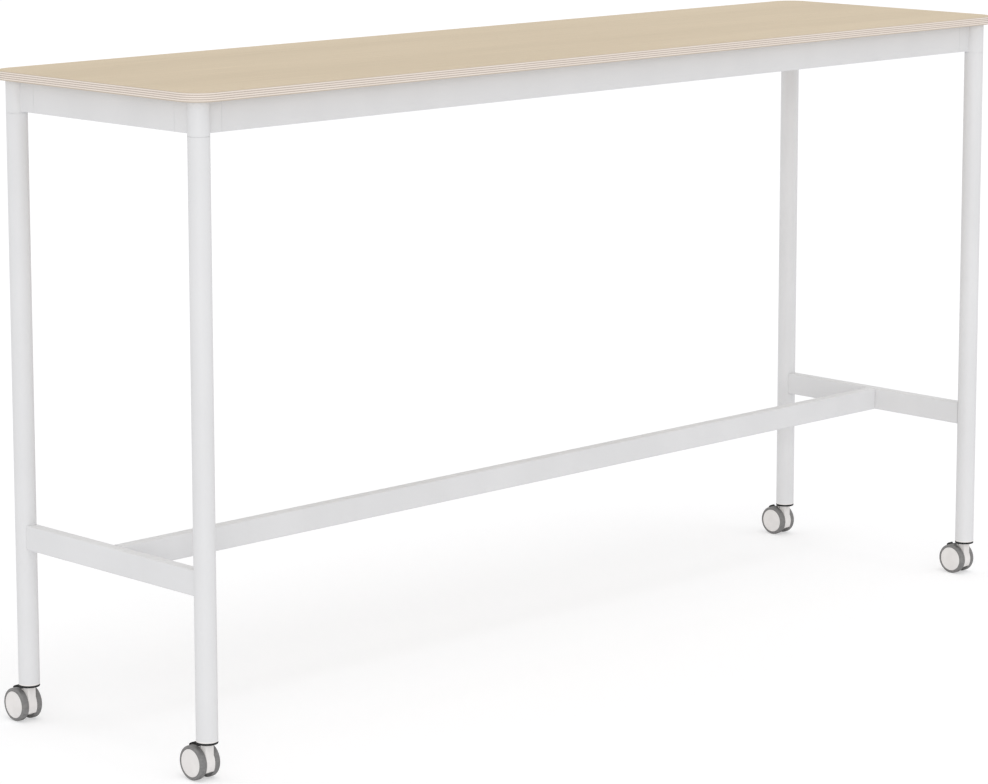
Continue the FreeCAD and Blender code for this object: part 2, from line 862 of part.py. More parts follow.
sockets = []
rings = []
stems = []
stem_hole = s.stem_top_radius + s.running_clearance
stem_bottom = hood_top - s.stem_depth
for corner, (sign_x, sign_y) in CORNERS.items():
    x = leg_x * sign_x
    y = leg_y * sign_y
    flange = rod(f"socket_flange_{corner}", s.leg_radius, s.socket_flange, (x, y, ring_top))
    plug = rod(
        f"socket_plug_{corner}",
        leg_bore - s.plug_clearance,
        s.socket_length + s.socket_flange,
        (x, y, ring_top),
    )
    hole = rod(f"socket_hole_{corner}", stem_hole, s.stem_seat, (x, y, ring_top))
    socket = joined(f"socket_body_{corner}", [flange, plug])
    sockets.append(cut(f"socket_{corner}", socket, hole))
    disc = rod(f"ring_disc_{corner}", s.leg_radius, s.ring_thickness, (x, y, ring_bottom))
    ring_hole = rod(f"ring_hole_{corner}", stem_hole, s.ring_thickness, (x, y, ring_bottom))
    rings.append(cut(f"ring_{corner}", disc, ring_hole))
    thin = rod(f"stem_thin_{corner}", s.stem_radius, ring_bottom - stem_bottom, (x, y, stem_bottom))
    thick = rod(
        f"stem_thick_{corner}",
        s.stem_top_radius,
        s.ring_thickness + s.stem_seat - s.axle_end_gap,
        (x, y, ring_bottom),
    )
    stems.append(joined(f"stem_{corner}", [thin, thick]))
group("castor_sockets", sockets)
group("swivel_rings", rings)
group("castor_stems", stems)


# Castors: each one trails towards the back of the table

hood_half = s.wheel_gap / 2 - s.hood_clearance
lug_width = hood_half - s.pedal_barrel_width / 2 - s.pedal_slot_clearance


def hood(label, x, y):
    """The moulded body between a castor's two wheels, in a frame on the stem's axis."""
    piece = new_body(label, (x, y, 0))
    axle = (s.trail, s.wheel_radius)
    pivot = (s.pedal_pivot_back, s.wheel_radius + s.pedal_pivot_rise)
    primitive(
        piece,
        "AdditiveCylinder",
        (-hood_half, *axle),
        ALONG_X,
        Radius=s.hood_radius,
        Height=hood_half * 2,
    )
    post = new_sketch(piece, "XY_Plane", (0, 0, s.wheel_radius))
    draw_rounded_rectangle(post, "post", hood_half * 2, hood_half * 2, s.hood_post_corner)
    pad(piece, post, s.hood_rise, symmetric=False)
    primitive(
        piece,
        "SubtractiveBox",
        (-hood_half, s.trail - s.hood_radius, s.wheel_radius - s.hood_radius),
        Length=hood_half * 2,
        Width=s.hood_radius * 2,
        Height=s.hood_bottom - s.wheel_radius + s.hood_radius,
    )
    # The flat under the pedal, which leaves it room to be pressed down
    lean = Rotation(Vector(1, 0, 0), HOOD_FLAT_ANGLE - 90)
    outward = lean.multVec(Vector(0, 0, 1))
    downward = lean.multVec(Vector(0, 1, 0))
    flat_y = s.trail + s.hood_flat * outward.y - s.hood_flat_reach * downward.y
    flat_z = s.wheel_radius + s.hood_flat * outward.z - s.hood_flat_reach * downward.z
    primitive(
        piece,
        "SubtractiveBox",
        (-hood_half, flat_y, flat_z),
        lean,
        Length=hood_half * 2,
        Width=s.hood_flat_reach * 2,
        Height=s.hood_radius,
    )
    # The lugs that carry the pedal's trunnions, one on either side of it
    for start in (-hood_half, hood_half - lug_width):
        primitive(
            piece,
            "AdditiveCylinder",
            (start, *pivot),
            ALONG_X,
            Radius=s.lug_radius,
            Height=lug_width,
        )
    # The slot between the lugs, in which the pedal's barrel turns
    slot = s.pedal_barrel_width + s.pedal_slot_clearance * 2
    primitive(
        piece,
        "SubtractiveCylinder",
        (-slot / 2, *pivot),
        ALONG_X,
        Radius=s.lug_radius + s.pedal_slot_clearance,
        Height=slot,
    )
    # Two blind bores for the pedal's trunnions, so the lugs' outer faces stay closed
    bore_half = s.trunnion_half + s.trunnion_end_gap
    primitive(
        piece,
        "SubtractiveCylinder",
        (-bore_half, *pivot),
        ALONG_X,
        Radius=s.trunnion_radius + s.running_clearance,
        Height=bore_half * 2,
    )
    primitive(
        piece,
        "SubtractiveCylinder",
        (-hood_half, *axle),
        ALONG_X,
        Radius=s.axle_radius,
        Height=hood_half * 2,
    )
    primitive(
        piece,
        "SubtractiveCylinder",
        (0, 0, stem_bottom - s.axle_end_gap),
        Radius=s.stem_radius + s.running_clearance,
        Height=s.stem_depth + s.axle_end_gap,
    )
    return keep(piece)


def rim(label, x, y, turn):
    """A pale hub disc with its boss and the ring that the tyre sits on."""
    piece = new_body(label, (x, y, s.wheel_radius), turn)
    drawing = new_sketch(piece, "XY_Plane")
    bore = s.axle_radius + s.running_clearance
    web = s.wheel_width - s.hub_disc_thickness
    draw_outline(
        drawing,
        [
            (ZERO, bore),
            (ZERO, s.rim_boss_radius),
            (web, s.rim_boss_radius),
            (web, s.rim_ring_inner_radius),
            (ZERO, s.rim_ring_inner_radius),
            (ZERO, s.hub_disc_radius),
            (s.wheel_width, s.hub_disc_radius),
            (s.wheel_width, ZERO),
            (web, ZERO),
            (web, bore),
        ],
    )
    turned = piece.newObject("PartDesign::Revolution", f"{label}_turned")
    turned.Profile = drawing
    turned.ReferenceAxis = (drawing, ["H_Axis"])
    turned.Angle = 360
    far = s.wheel_width.number
    edge_radius = s.hub_disc_radius.number
    round_edges(piece, s.hub_disc_edge, lambda edge: is_ring(edge, far, edge_radius))
    return keep(piece)


def is_ring(edge, across, radius):
    """True for a circular edge round the X axis at that place and of that radius."""
    if not isinstance(edge.Curve, Part.Circle):
        return False
    near = abs(edge.Curve.Center.x - across) < 1e-3 * radius
    return near and abs(edge.Curve.Radius - radius) < 1e-3 * radius


def tyre(label, x, y, turn):
    piece = new_body(label, (x, y, s.wheel_radius), turn)
    drawing = new_sketch(piece, "XY_Plane")
    seat = s.hub_disc_radius + s.tyre_clearance
    draw_outline(
        drawing,
        [
            (ZERO, seat),
            (ZERO, s.wheel_radius),
            (s.wheel_width, s.wheel_radius),
            (s.wheel_width, seat),
        ],
    )
    turned = piece.newObject("PartDesign::Revolution", f"{label}_turned")
    turned.Profile = drawing
    turned.ReferenceAxis = (drawing, ["H_Axis"])
    turned.Angle = 360
    tread = s.wheel_radius.number
    for across, radius in ((s.wheel_width.number, s.tyre_outer_shoulder), (0, s.tyre_inner_shoulder)):
        round_edges(piece, radius, lambda edge: is_ring(edge, across, tread))
    return keep(piece)


def brake_pedal(label, x, y):
    """A small curved foot plate behind the leg, on an arm, a barrel and two trunnions."""
    piece = new_body(label, (x, y, 0))
    axle = (s.trail, s.wheel_radius)
    pivot = (s.pedal_pivot_back, s.wheel_radius + s.pedal_pivot_rise)
    plate = piece.newObject("PartDesign::AdditiveCylinder", f"{label}_plate")
    bind(plate, "Radius", s.pedal_outer_radius)
    bind(plate, "Height", s.pedal_width)
    plate.Angle = PEDAL_SPAN_ANGLE
    # Turned so that the sector starts at the tip and opens upwards round the axle
    start = Rotation(Vector(1, 0, 0), PEDAL_TIP_ANGLE)
    upright = Rotation(Vector(0, 1, 0), Vector(0, 0, 1), Vector(1, 0, 0), "XYZ")
    place(plate, (-s.pedal_width / 2, *axle), start * upright)
    primitive(
        piece,
        "SubtractiveCylinder",
        (-s.pedal_width / 2, *axle),
        ALONG_X,
        Radius=s.pedal_inner_radius,
        Height=s.pedal_width,
    )
    rise = Rotation(Vector(1, 0, 0), PEDAL_ARM_ANGLE)
    thickwise = rise.multVec(Vector(0, 0, 1)) / 2
    arm_y = pivot[0] - s.pedal_arm_thickness * thickwise.y
    arm_z = pivot[1] - s.pedal_arm_thickness * thickwise.z
    primitive(
        piece,
        "AdditiveBox",
        (-s.pedal_barrel_width / 2, arm_y, arm_z),
        rise,
        Length=s.pedal_barrel_width,
        Width=s.pedal_arm_reach,
        Height=s.pedal_arm_thickness,
    )
    primitive(
        piece,
        "AdditiveCylinder",
        (-s.pedal_barrel_width / 2, *pivot),
        ALONG_X,
        Radius=s.pedal_barrel_radius,
        Height=s.pedal_barrel_width,
    )
    primitive(
        piece,
        "AdditiveCylinder",
        (-s.trunnion_half, *pivot),
        ALONG_X,
        Radius=s.trunnion_radius,
        Height=s.trunnion_half * 2,
    )
    return keep(piece)


axle_half = s.wheel_gap / 2 + s.wheel_width - s.hub_disc_thickness - s.axle_end_gap
for corner, (sign_x, sign_y) in CORNERS.items():
    x = leg_x * sign_x
    y = leg_y * sign_y
    hood(f"{corner}_castor_hood", x, y)
    axle = rod(
        f"{corner}_castor_axle",
        s.axle_radius,
        axle_half * 2,
        (x - axle_half, y + s.trail, s.wheel_radius),
        ALONG_X,
    )
    axle.Label = f"{corner}_castor_axle"
    keep(axle)
    for side, sign, turn in (("left", -1, HALF_TURN), ("right", 1, UPRIGHT)):
        wheel_x = x + s.wheel_gap / 2 * sign
        wheel_y = y + s.trail
        rim(f"{corner}_castor_{side}_rim", wheel_x, wheel_y, turn)
        tyre(f"{corner}_castor_{side}_tyre", wheel_x, wheel_y, turn)
    brake_pedal(f"{corner}_brake_pedal", x, y)


# Check every object and write each sub-part

doc.recompute()
for item in doc.Objects:
    if "Invalid" in item.State or "Error" in item.State:
        raise RuntimeError(f"{item.Name} failed: {item.State}")
os.makedirs("parts", exist_ok=True)
for piece in parts:
    if piece.Shape.isNull() or not piece.Shape.isValid() or not piece.Shape.Solids:
        raise RuntimeError(f"{piece.Label} has no valid solid")
for piece in parts:
    piece.Shape.exportStep(os.path.join("parts", f"{piece.Label}.step"))
    print(piece.Label, len(piece.Shape.Solids), round(piece.Shape.Volume))
print(len(parts), "sub-parts")
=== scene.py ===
# %% [markdown]
# # Dressing a high table
# The table itself arrives as a finished assembly of solids: a plywood top, a white metal frame
# and four small castors. This lesson gives those solids their finishes, swaps a few small pieces
# for more detailed ones, and sets up a pale studio with the camera where the photographer stood.
# The assembly is loaded first, because every later step reads its places from it.

# %% Load the assembly
import json
from contextlib import contextmanager
from math import cos, radians, sin

import bmesh
import bpy
from mathutils import Matrix, Vector


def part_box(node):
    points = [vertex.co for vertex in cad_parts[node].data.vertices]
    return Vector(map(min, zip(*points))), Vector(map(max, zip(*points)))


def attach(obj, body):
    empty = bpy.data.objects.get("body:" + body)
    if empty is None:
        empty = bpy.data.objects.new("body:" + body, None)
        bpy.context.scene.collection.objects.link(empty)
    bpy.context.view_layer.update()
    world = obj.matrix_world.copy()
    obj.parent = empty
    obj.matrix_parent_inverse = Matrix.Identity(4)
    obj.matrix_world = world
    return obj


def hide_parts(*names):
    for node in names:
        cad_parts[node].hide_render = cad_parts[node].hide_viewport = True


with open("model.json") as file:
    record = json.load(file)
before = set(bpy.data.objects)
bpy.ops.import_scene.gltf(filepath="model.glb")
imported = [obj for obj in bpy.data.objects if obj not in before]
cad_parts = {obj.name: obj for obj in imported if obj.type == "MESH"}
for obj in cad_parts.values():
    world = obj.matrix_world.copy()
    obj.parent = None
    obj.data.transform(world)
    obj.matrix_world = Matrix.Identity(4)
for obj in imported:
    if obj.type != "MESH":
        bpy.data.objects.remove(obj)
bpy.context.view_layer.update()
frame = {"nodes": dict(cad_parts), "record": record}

# %% [markdown]
# ## The camera
# The photograph is taken from the table's front left corner, at a heading of nearly 45 degrees,
# from a little above the top. Its vertical edges stay nearly parallel, which a shifted lens gives.
# The place and the lens could be tried by eye, but a camera fitted to the photograph's own corners
# is surer, and its numbers are written here. Places are in metres, angles in radians and the
# lens's centre in pixels from the picture's upper left corner.

# %% Stand the camera
PICTURE_WIDTH = 988
PICTURE_HEIGHT = 784
FOCAL_PIXELS = 3480.4
LENS_CENTRE = (494.0, 250.0)
SENSOR_WIDTH_MM = 36.0
FARTHEST_SEEN = 200.0
CAMERA_PLACE = Vector((-4.17378, -4.16381, 1.59046))
HEADING = 0.77493
DOWNWARD = 0.15164
ROLL = -0.00108

bpy.ops.object.camera_add(location=CAMERA_PLACE)
camera = bpy.context.object
camera.name = "studio_camera"
camera.data.sensor_fit = "HORIZONTAL"
camera.data.sensor_width = SENSOR_WIDTH_MM
camera.data.lens = FOCAL_PIXELS * SENSOR_WIDTH_MM / PICTURE_WIDTH
camera.data.shift_x = (PICTURE_WIDTH / 2 - LENS_CENTRE[0]) / PICTURE_WIDTH
camera.data.shift_y = (LENS_CENTRE[1] - PICTURE_HEIGHT / 2) / PICTURE_WIDTH
camera.data.clip_end = FARTHEST_SEEN
forward = Vector((sin(HEADING) * cos(DOWNWARD), cos(HEADING) * cos(DOWNWARD), -sin(DOWNWARD)))
level_right = Vector((cos(HEADING), -sin(HEADING), 0.0))
level_up = level_right.cross(forward)
right = level_right * cos(ROLL) + level_up * sin(ROLL)
up = level_up * cos(ROLL) - level_right * sin(ROLL)
turn = Matrix((right, up, -forward)).transposed()
camera.matrix_world = Matrix.Translation(CAMERA_PLACE) @ turn.to_4x4()
bpy.context.scene.camera = camera
print("lens", round(camera.data.lens, 1), "mm, shift", round(camera.data.shift_y, 3))

# %% [markdown]
# ## Shader maths in plain Python
# A finish is a small network of nodes. Placing them one by one is slow to read, so one class adds
# any node from its type, its settings and its sockets, and a second wraps a socket so that + - * /
# and a few named curves add the Math nodes that they stand for.

# %% A socket that can be added and multiplied
class Field:
    """A value that varies over a surface: the output of some node in a finish."""

    def __init__(self, finish, socket):
        self.finish = finish
        self.socket = socket

    def maths(self, operation, *values):
        sockets = dict(enumerate(values))
        return self.finish.node("ShaderNodeMath", {"operation": operation}, sockets)

    def __add__(self, other):
        return self.maths("ADD", self, other)

    def __sub__(self, other):
        return self.maths("SUBTRACT", self, other)

    def __rsub__(self, other):
        return self.maths("SUBTRACT", other, self)

    def __mul__(self, other):
        return self.maths("MULTIPLY", self, other)

    def __truediv__(self, other):
        return self.maths("DIVIDE", self, other)

    __radd__ = __add__
    __rmul__ = __mul__

    def above(self, level):
        """1 where the value is over the level, else 0."""
        return self.maths("GREATER_THAN", self, level)

    def ramp(self, low, high):
        """0 at low, 1 at high and smooth between them."""
        settings = {"interpolation_type": "SMOOTHSTEP"}
        return self.finish.node("ShaderNodeMapRange", settings, {0: self, 1: low, 2: high})


class Finish:
    """A material, with one method that adds any node to it."""

    def __init__(self, name):
        self.material = bpy.data.materials.new(name)
        self.material.use_nodes = True
        self.tree = self.material.node_tree
        self.tree.nodes.clear()

    def node(self, kind, settings=None, sockets=None, output=0):
        made = self.tree.nodes.new(kind)
        for name, value in (settings or {}).items():
            setattr(made, name, value)
        for key, value in (sockets or {}).items():
            if isinstance(value, Field):
                self.tree.links.new(value.socket, made.inputs[key])
            else:
                made.inputs[key].default_value = value
        return Field(self, made.outputs[output])

    def place(self, stretch=(1.0, 1.0, 1.0)):
        """The point on the piece, in metres, with each axis multiplied by its stretch."""
        point = self.node("ShaderNodeTexCoord", output=3)
        sockets = {0: point, 1: stretch}
        return self.node("ShaderNodeVectorMath", {"operation": "MULTIPLY"}, sockets)

    def noise(self, waves, detail=3.0, rough=0.5):
        """A cloudy pattern of 0 to 1, with so many waves per metre along each axis."""
        sockets = {"Vector": self.place(waves), "Scale": 1.0, "Detail": detail}
        sockets["Roughness"] = rough
        return self.node("ShaderNodeTexNoise", {}, sockets)

    def blend(self, amount, first, second):
        sockets = {0: amount, 6: first, 7: second}
        return self.node("ShaderNodeMix", {"data_type": "RGBA"}, sockets, output=2)

    def bump(self, height, depth):
        """A normal for the surface, from a height of 0 to 1 that stands for a depth in metres."""
        sockets = {"Height": height, "Distance": depth, "Strength": 1.0}
        return self.node("ShaderNodeBump", {}, sockets)

    def done(self, **sockets):
        """Ends the finish with one Principled shader, whose sockets are given by name."""
        named = {name.replace("_", " "): value for name, value in sockets.items()}
        shader = self.node("ShaderNodeBsdfPrincipled", {}, named)
        self.node_output(shader)
        return self.material

    def node_output(self, shader):
        end = self.tree.nodes.new("ShaderNodeOutputMaterial")
        self.tree.links.new(shader.socket, end.inputs["Surface"])


def as_light(level):
    """The light that a screen's level of 0 to 255 stands for, by the usual curve of screens."""
    share = level / 255
    return ((share + 0.055) / 1.055) ** 2.4 if share > 0.04 else share / 12.92


def paint(red, green, blue):
    """A colour as a screen shows it, turned into the light that it stands for."""
    return (as_light(red), as_light(green), as_light(blue), 1.0)


def evenly(waves):
    """The same number of waves per metre along all three axes."""
    return (waves, waves, waves)


print("white paint of 230 reflects", round(paint(230, 230, 230)[0], 3))

# %% [markdown]
# ## Floor and light
# A product picture like this one is taken on a white sweep, in very soft light, so that only a
# breath of shadow shows under the castors. A dome of even light does most of that, and the white
# floor throws much of it back up under the top. Area lamps near the table would light its near
# end more than its far end, and the photograph shows both ends alike, so the rest comes from two
# wide suns. One is nearly overhead and lays the top's soft shadow on the floor, a little behind
# the table. The other is behind the camera, where its shadows aren't seen. The backdrop is white
# only to the camera and in reflections: making it white with more light would burn the pale
# table out. The floor that the camera sees is part glow for the same reason.

# %% Light the studio
DOME_LEVEL = 0.80
OVERHEAD_TOWARDS = (0.04, 0.28, -0.96)
OVERHEAD_LEVEL = 0.40
OVERHEAD_DEGREES = 30
BEHIND_CAMERA_TOWARDS = (0.70, 0.714, -0.15)
BEHIND_CAMERA_LEVEL = 0.55
BEHIND_CAMERA_DEGREES = 26
FLOOR_SIZE = 60.0
FLOOR_BOUNCE = 0.90
FLOOR_GREY = 0.62
FLOOR_GLOW = 0.455
FLOOR_COOLNESS = 1.012
WHITE = (1.0, 1.0, 1.0, 1.0)

world = bpy.data.worlds.new("studio_dome")
bpy.context.scene.world = world
world.use_nodes = True
dome = world.node_tree
dome.nodes.clear()
ray = dome.nodes.new("ShaderNodeLightPath")
seen = dome.nodes.new("ShaderNodeMath")
seen.operation = "MAXIMUM"
dome.links.new(ray.outputs["Is Camera Ray"], seen.inputs[0])
dome.links.new(ray.outputs["Is Glossy Ray"], seen.inputs[1])
seen_or_through = dome.nodes.new("ShaderNodeMath")
seen_or_through.operation = "MAXIMUM"
dome.links.new(seen.outputs[0], seen_or_through.inputs[0])
dome.links.new(ray.outputs["Is Transmission Ray"], seen_or_through.inputs[1])
lighting = dome.nodes.new("ShaderNodeBackground")
lighting.inputs["Color"].default_value = WHITE
lighting.inputs["Strength"].default_value = DOME_LEVEL
backdrop = dome.nodes.new("ShaderNodeBackground")
backdrop.inputs["Color"].default_value = WHITE
backdrop.inputs["Strength"].default_value = 1.0
choice = dome.nodes.new("ShaderNodeMixShader")
dome.links.new(seen_or_through.outputs[0], choice.inputs[0])
dome.links.new(lighting.outputs[0], choice.inputs[1])
dome.links.new(backdrop.outputs[0], choice.inputs[2])
sky = dome.nodes.new("ShaderNodeOutputWorld")
dome.links.new(choice.outputs[0], sky.inputs["Surface"])


def wide_sun(name, towards, level, degrees):
    """A sun that shines towards a direction and whose disc is so many degrees wide."""
    bpy.ops.object.light_add(type="SUN")
    sun = bpy.context.object
    sun.name = name
    sun.data.energy = level
    sun.data.angle = radians(degrees)
    sun.rotation_euler = Vector(towards).to_track_quat("-Z", "Y").to_euler()


wide_sun("overhead_sun", OVERHEAD_TOWARDS, OVERHEAD_LEVEL, OVERHEAD_DEGREES)
wide_sun("sun_behind_the_camera", BEHIND_CAMERA_TOWARDS, BEHIND_CAMERA_LEVEL, BEHIND_CAMERA_DEGREES)

bpy.ops.mesh.primitive_plane_add(size=FLOOR_SIZE, location=(0.0, 0.0, 0.0))
floor = bpy.context.object
floor.name = "studio_floor"
sweep = Finish("studio_floor")
to_camera = sweep.node("ShaderNodeLightPath", output=0)
bounce, grey = [
    sweep.node("ShaderNodeBsdfDiffuse", {}, {"Color": (level, level, level * FLOOR_COOLNESS, 1.0)})
    for level in (FLOOR_BOUNCE, FLOOR_GREY)
]
glow = sweep.node("ShaderNodeEmission", {}, {"Color": WHITE, "Strength": FLOOR_GLOW})
pictured = sweep.node("ShaderNodeAddShader", {}, {0: grey, 1: glow})
sweep.node_output(sweep.node("ShaderNodeMixShader", {}, {0: to_camera, 1: bounce, 2: pictured}))
floor.data.materials.append(sweep.material)
view = bpy.context.scene.view_settings
view.view_transform = "Standard"
print("dome", DOME_LEVEL, "and two wide suns")

# %% [markdown]
# ## The veneered top
# The top face is a thin sheet of pale straight-grained oak under a matt lacquer. A scanned picture
# would show real grain, but would blur close up and repeat. Here the grain is three stretched
# noises: slow changes of tone along the board, fine streaks, and the short dark pores that tell
# oak from beech. All three run along the table, which is the long axis of the stretch. The
# sheet's sawn edge shows a plainer, greyer colour.

# %% Oak veneer
# Waves per metre along the table, across it and up
BOARD_WAVES = (0.7, 6.0, 1.0)
STREAK_WAVES = (3.5, 210.0, 60.0)
FINE_WAVES = (14.0, 900.0, 300.0)
PORE_WAVES = (55.0, 2300.0, 900.0)
GRAIN_DEPTH = 0.00006
SAWN_OAK = paint(200, 187, 172)
LEAST_UPRIGHT = 0.5


def oak_veneer(name, pale, deep, pore):
    """Grain on the flat faces, which look up or down, and the sawn colour on the sheet's edge."""
    oak = Finish(name)
    boards = oak.noise(BOARD_WAVES, detail=2.0)
    streaks = oak.noise(STREAK_WAVES, detail=5.0, rough=0.62)
    fine = oak.noise(FINE_WAVES, detail=3.0)
    pores = oak.noise(PORE_WAVES, detail=2.0).ramp(0.60, 0.70)
    tone = boards * 0.35 + streaks * 0.45 + fine * 0.20
    wood = oak.blend(tone.ramp(0.36, 0.64), deep, pale)
    wood = oak.blend(pores * 0.35, wood, pore)
    facing = oak.node("ShaderNodeNewGeometry", output=1)
    upright = oak.node("ShaderNodeSeparateXYZ", {}, {0: facing}, output=2)
    flat = (upright * upright).above(LEAST_UPRIGHT**2)
    height = streaks * 0.4 - pores * 0.6
    return oak.done(
        Base_Color=oak.blend(flat, SAWN_OAK, wood),
        Roughness=0.55 + streaks * 0.12,
        Specular_IOR_Level=0.2,
        Normal=oak.bump(height, GRAIN_DEPTH),
    )


top_oak = oak_veneer(
    "oak_veneer",
    pale=paint(218, 201, 174),
    deep=paint(206, 189, 162),
    pore=paint(167, 145, 118),
)
under_oak = oak_veneer(
    "underside_veneer",
    pale=paint(208, 194, 174),
    deep=paint(193, 178, 157),
    pore=paint(160, 142, 118),
)
print("grain streaks about", round(1000 / STREAK_WAVES[1], 1), "mm apart")

# %% [markdown]
# ## The plywood's edge
# The board is glued from nine thin plies whose grain runs along and across in turn. On the sawn
# edge one ply shows its long grain, which is pale, and the next its end grain, which drinks more
# lacquer and is darker. The stripes could be modelled as nine sheets; as a pattern that counts
# plies up from the board's own lower face they stay exact with far fewer faces.

# %% Striped edge
CORE_PLIES = 7
LONG_GRAIN_WAVES = (14.0, 14.0, 2600.0)
END_GRAIN_WAVES = (900.0, 900.0, 1500.0)
SAWN_DEPTH = 0.00005
GLUE_STRENGTH = 0.40
core_low, core_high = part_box("plywood_core")
ply = (core_high.z - core_low.z) / CORE_PLIES

edge = Finish("plywood_edge")
height = edge.node("ShaderNodeSeparateXYZ", {}, {0: edge.place()}, output=2)
count = (height - core_low.z) / ply
layer = edge.node("ShaderNodeMath", {"operation": "FLOOR"}, {0: count})
crosswise = edge.node("ShaderNodeMath", {"operation": "PINGPONG"}, {0: layer, 1: 1.0})
within = edge.node("ShaderNodeMath", {"operation": "FRACT"}, {0: count})
from_middle = edge.node("ShaderNodeMath", {"operation": "ABSOLUTE"}, {0: within - 0.5})
glue = from_middle.ramp(0.43, 0.49)
long_grain = edge.noise(LONG_GRAIN_WAVES, detail=4.0)
end_grain = edge.noise(END_GRAIN_WAVES, detail=3.0)
pale_ply = edge.blend(long_grain.ramp(0.35, 0.65), paint(236, 225, 214), paint(246, 237, 227))
dark_ply = edge.blend(end_grain.ramp(0.35, 0.65), paint(190, 175, 163), paint(211, 198, 188))
plies = edge.blend(crosswise, pale_ply, dark_ply)
sawn = edge.blend(glue * GLUE_STRENGTH, plies, paint(156, 134, 116))
ply_edge = edge.done(
    Base_Color=sawn,
    Roughness=0.55 + crosswise * 0.12,
    Specular_IOR_Level=0.3,
    Normal=edge.bump(end_grain * crosswise + long_grain * 0.3, SAWN_DEPTH),
)
print(CORE_PLIES, "plies of", round(ply * 1000, 2), "mm between the veneers")

# %% [markdown]
# ## White powder coat
# The frame is sprayed with a white powder that melts into a skin with a faint ripple, like the
# skin of an orange, about a millimetre from crest to crest. The skin is satin, so it shows broad
# soft highlights. A second, much slower noise keeps a long tube from looking like plain plastic.

# %% Powder coat
RIPPLE_WAVES = 900.0
RIPPLE_DEPTH = 0.00003
CLOUD_WAVES = (9.0, 9.0, 5.0)

coat = Finish("white_powder_coat")
ripple = coat.noise(evenly(RIPPLE_WAVES), detail=2.0)
cloud = coat.noise(CLOUD_WAVES, detail=2.0)
powder_coat = coat.done(
    Base_Color=coat.blend(cloud.ramp(0.3, 0.7), paint(226, 226, 227), paint(230, 230, 231)),
    Roughness=0.40 + ripple * 0.10,
    Specular_IOR_Level=0.45,
    Normal=coat.bump(ripple, RIPPLE_DEPTH),
)
print("powder coat ripple about", round(1000 / RIPPLE_WAVES, 1), "mm")

# %% [markdown]
# ## Metals inside the frame
# The blocks inside the tubes are sawn aluminium and the brackets and screws are zinc-plated
# steel. Both are bare metal, so they are fully metallic and their look comes from roughness: saw
# marks across the aluminium, and a cloudy bright plating on the steel.

# %% Aluminium and zinc
SAW_WAVES = (1200.0, 40.0, 1200.0)
SAW_DEPTH = 0.00004
BLOOM_WAVES = 160.0
SPECK_WAVES = 1500.0
SPECK_DEPTH = 0.00001

alloy = Finish("sawn_aluminium")
saw = alloy.noise(SAW_WAVES, detail=3.0)
sawn_aluminium = alloy.done(
    Base_Color=alloy.blend(saw.ramp(0.3, 0.7), paint(196, 198, 201), paint(214, 216, 218)),
    Metallic=1.0,
    Roughness=0.34 + saw * 0.16,
    Normal=alloy.bump(saw, SAW_DEPTH),
)
plating = Finish("zinc_plated_steel")
bloom = plating.noise(evenly(BLOOM_WAVES), detail=4.0)
speck = plating.noise(evenly(SPECK_WAVES), detail=2.0)
zinc = plating.done(
    Base_Color=plating.blend(bloom.ramp(0.3, 0.7), paint(186, 190, 194), paint(212, 214, 214)),
    Metallic=1.0,
    Roughness=0.26 + bloom * 0.20 + speck * 0.06,
    Normal=plating.bump(speck, SPECK_DEPTH),
)
print("two metals")

# %% [markdown]
# ## Castor plastics and tyre
# The hub discs, hoods and sockets are moulded in one off-white nylon, slightly warmer than the
# frame. The pedal and the ring are black, with the fine spark texture that hides finger marks.
# The tyre is a soft grey rubber, matt, and a little paler where it has rolled on the floor.

# %% Nylon and rubber
SKIN_WAVES = 1300.0
SKIN_DEPTH = 0.00001
FLOW_WAVES = 60.0
SPARK_WAVES = 2200.0
SPARK_DEPTH = 0.00003
GRIT_WAVES = 1600.0
GRIT_DEPTH = 0.00004
SCUFF_WAVES = (90.0, 260.0, 260.0)

nylon = Finish("off_white_nylon")
skin = nylon.noise(evenly(SKIN_WAVES), detail=2.0)
flow = nylon.noise(evenly(FLOW_WAVES), detail=2.0)
pale_plastic = nylon.done(
    Base_Color=nylon.blend(flow.ramp(0.3, 0.7), paint(235, 232, 230), paint(240, 237, 235)),
    Roughness=0.42 + skin * 0.10,
    Specular_IOR_Level=0.45,
    Normal=nylon.bump(skin, SKIN_DEPTH),
)
moulded = Finish("black_nylon")
spark = moulded.noise(evenly(SPARK_WAVES), detail=2.0)
black_plastic = moulded.done(
    Base_Color=moulded.blend(spark.ramp(0.4, 0.6), paint(18, 18, 19), paint(27, 27, 28)),
    Roughness=0.46 + spark * 0.14,
    Specular_IOR_Level=0.28,
    Normal=moulded.bump(spark, SPARK_DEPTH),
)
rubber = Finish("grey_tyre")
grit = rubber.noise(evenly(GRIT_WAVES), detail=3.0)
scuff = rubber.noise(SCUFF_WAVES, detail=4.0)
grey_rubber = rubber.done(
    Base_Color=rubber.blend(scuff.ramp(0.35, 0.75), paint(126, 125, 125), paint(139, 138, 137)),
    Roughness=0.62 + grit * 0.16,
    Specular_IOR_Level=0.35,
    Normal=rubber.bump(grit, GRIT_DEPTH),
)
print("two plastics and a rubber")

# %% [markdown]
# ## Dress the solids
# Each solid already knows which finish it takes, because the assembly's record names one for
# every piece. Reading that list is safer than typing nearly sixty names by hand.

# %% Give each solid its finish
FINISHES = {
    "top_veneer": top_oak,
    "ply_edge": ply_edge,
    "underside_veneer": under_oak,
    "white_powder_coat": powder_coat,
    "bare_aluminium": sawn_aluminium,
    "zinc_steel": zinc,
    "pale_plastic": pale_plastic,
    "black_plastic": black_plastic,
    "grey_tyre": grey_rubber,
}
for entry in frame["record"]["subparts"]:
    solid = frame["nodes"][entry["node"]]
    solid.data.materials.clear()
    solid.data.materials.append(FINISHES[entry["material_slot"]])

